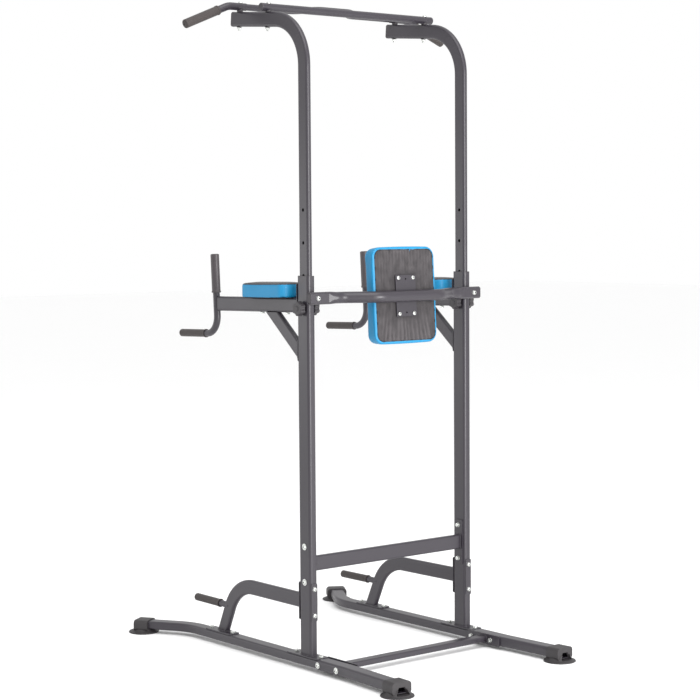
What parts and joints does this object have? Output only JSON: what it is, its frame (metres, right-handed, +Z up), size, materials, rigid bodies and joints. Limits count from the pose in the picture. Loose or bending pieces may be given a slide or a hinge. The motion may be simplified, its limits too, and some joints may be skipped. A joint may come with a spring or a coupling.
{
  "type": "power tower",
  "caption": "Free-standing pull-up, dip and knee-raise tower with height-adjustable goose-neck top frame, padded arms and back rest, floor grips and rubber disc feet.",
  "frame": {"origin": "centre of the footprint's bounding box, on the floor", "axes": "+Z up, X across the tower, the user faces -Y and the rear feet point to +Y; side l is +X"},
  "size_m": [1.1522, 1.4136, 2.2221],
  "materials": {
    "frame_paint": "satin powder coat",
    "foot_rubber": "matte",
    "grip_rubber": "matte",
    "black_plastic": "satin",
    "knob_plastic": "satin",
    "pad_vinyl": "satin vinyl",
    "cover_fabric": "matte non-woven",
    "zinc": "bright zinc"
  },
  "bodies": {
    "base_frame": {"arm_pad_l": "pad_vinyl", "arm_pad_r": "pad_vinyl", "arm_pad_screws": "zinc", "arm_strut_l": "frame_paint", "arm_strut_r": "frame_paint", "back_cover": "cover_fabric", "back_cross_bar": "frame_paint", "back_pad": "pad_vinyl", "back_pad_bolts": "zinc", "base_bolts": "zinc", "base_cross_tube": "frame_paint", "brace_back_plate_l": "frame_paint", "brace_back_plate_r": "frame_paint", "dip_arm_l": "frame_paint", "dip_arm_r": "frame_paint", "dip_handle_l": "frame_paint", "dip_handle_r": "frame_paint", "floor_grip_l": "grip_rubber", "floor_grip_r": "grip_rubber", "front_foot_l": "foot_rubber", "front_foot_r": "foot_rubber", "front_rail_l": "frame_paint", "front_rail_r": "frame_paint", "lower_cross_bar": "frame_paint", "lower_grip_l": "grip_rubber", "lower_grip_r": "grip_rubber", "lower_post_l": "frame_paint", "lower_post_r": "frame_paint", "post_bolts_l": "zinc", "post_bolts_r": "zinc", "post_bush_l": "black_plastic", "post_bush_r": "black_plastic", "rear_foot_l": "foot_rubber", "rear_foot_r": "foot_rubber", "rear_rail_l": "frame_paint", "rear_rail_r": "frame_paint", "side_brace_l": "frame_paint", "side_brace_r": "frame_paint", "upright_grip_l": "grip_rubber", "upright_grip_r": "grip_rubber"},
    "top_frame": {"bar_bolts": "zinc", "bar_spacers": "black_plastic", "centre_bar": "frame_paint", "goose_neck_l": "frame_paint", "goose_neck_r": "frame_paint", "neck_cap_l": "black_plastic", "neck_cap_r": "black_plastic", "neck_shoe_l": "black_plastic", "neck_shoe_r": "black_plastic", "pull_up_bar": "frame_paint", "pull_up_bar_caps": "black_plastic", "wide_bar_l": "frame_paint", "wide_bar_r": "frame_paint", "wide_grip_l": "grip_rubber", "wide_grip_r": "grip_rubber"},
    "outer_knob_l": {"outer_knob_l": "knob_plastic"},
    "outer_knob_r": {"outer_knob_r": "knob_plastic"},
    "inner_knob_l": {"inner_knob_l": "knob_plastic"},
    "inner_knob_r": {"inner_knob_r": "knob_plastic"}
  },
  "joints": [
    {"name": "height_slide", "type": "slide", "parent": "base_frame", "child": "top_frame", "axis": [0, 0, 1], "range_m": [-0.321, 0.214]},
    {"name": "outer_knob_l_turn", "type": "hinge", "parent": "base_frame", "child": "outer_knob_l", "pos_m": [0.3725, 0.1867, 1.195], "axis": [1, 0, 0], "continuous": true},
    {"name": "outer_knob_r_turn", "type": "hinge", "parent": "base_frame", "child": "outer_knob_r", "pos_m": [-0.3725, 0.1867, 1.195], "axis": [1, 0, 0], "continuous": true},
    {"name": "inner_knob_l_turn", "type": "hinge", "parent": "base_frame", "child": "inner_knob_l", "pos_m": [0.3175, 0.1867, 1.195], "axis": [1, 0, 0], "continuous": true},
    {"name": "inner_knob_r_turn", "type": "hinge", "parent": "base_frame", "child": "inner_knob_r", "pos_m": [-0.3175, 0.1867, 1.195], "axis": [1, 0, 0], "continuous": true}
  ]
}
